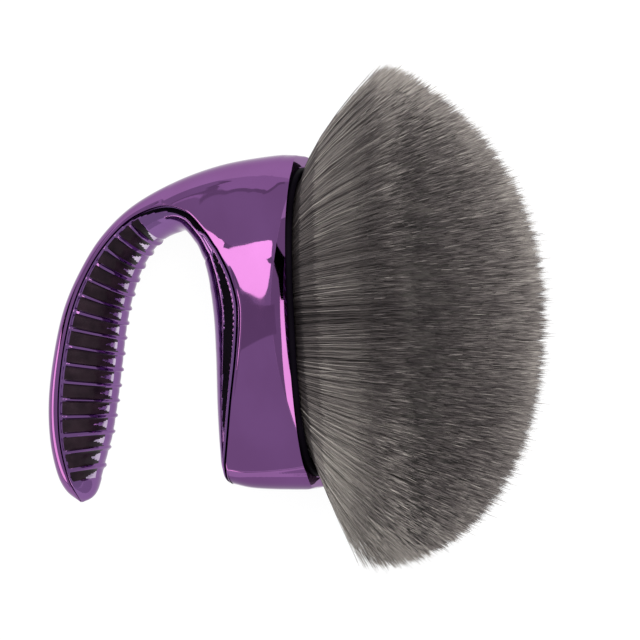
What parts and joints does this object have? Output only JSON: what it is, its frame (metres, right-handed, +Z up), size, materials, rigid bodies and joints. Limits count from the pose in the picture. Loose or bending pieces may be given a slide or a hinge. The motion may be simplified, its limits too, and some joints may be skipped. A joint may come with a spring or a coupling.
{
  "type": "body dry brush",
  "caption": "Hand-held body brush with a plated hook-shaped grip that slips over the fingers, a ribbed grip cover and a wide, soft, dome-cut fibre pack.",
  "frame": {"origin": "middle of the brush's footprint box, on the table that it lies on", "axes": "+Z up from the table; +X from the hook to the fibres; +Y along the block, towards the arch of the hook"},
  "size_m": [0.1288, 0.1294, 0.0719],
  "materials": {
    "plated_plastic": "mirror-bright metallised purple",
    "grip_plastic": "glossy dark metallised purple",
    "trim_plastic": "glossy black",
    "cup_metal": "plain spun",
    "resin": "cast, slightly glossy",
    "binding_thread": "wound waxed thread",
    "fibre": "fine soft synthetic fibre, taupe"
  },
  "bodies": {
    "root": {"handle_shell": "plated_plastic", "grip_cover": "grip_plastic", "mouth_collar": "trim_plastic", "ferrule_cup": "cup_metal", "potting_resin": "resin", "binding_band": "binding_thread", "fibre_pack": "fibre"}
  },
  "joints": []
}
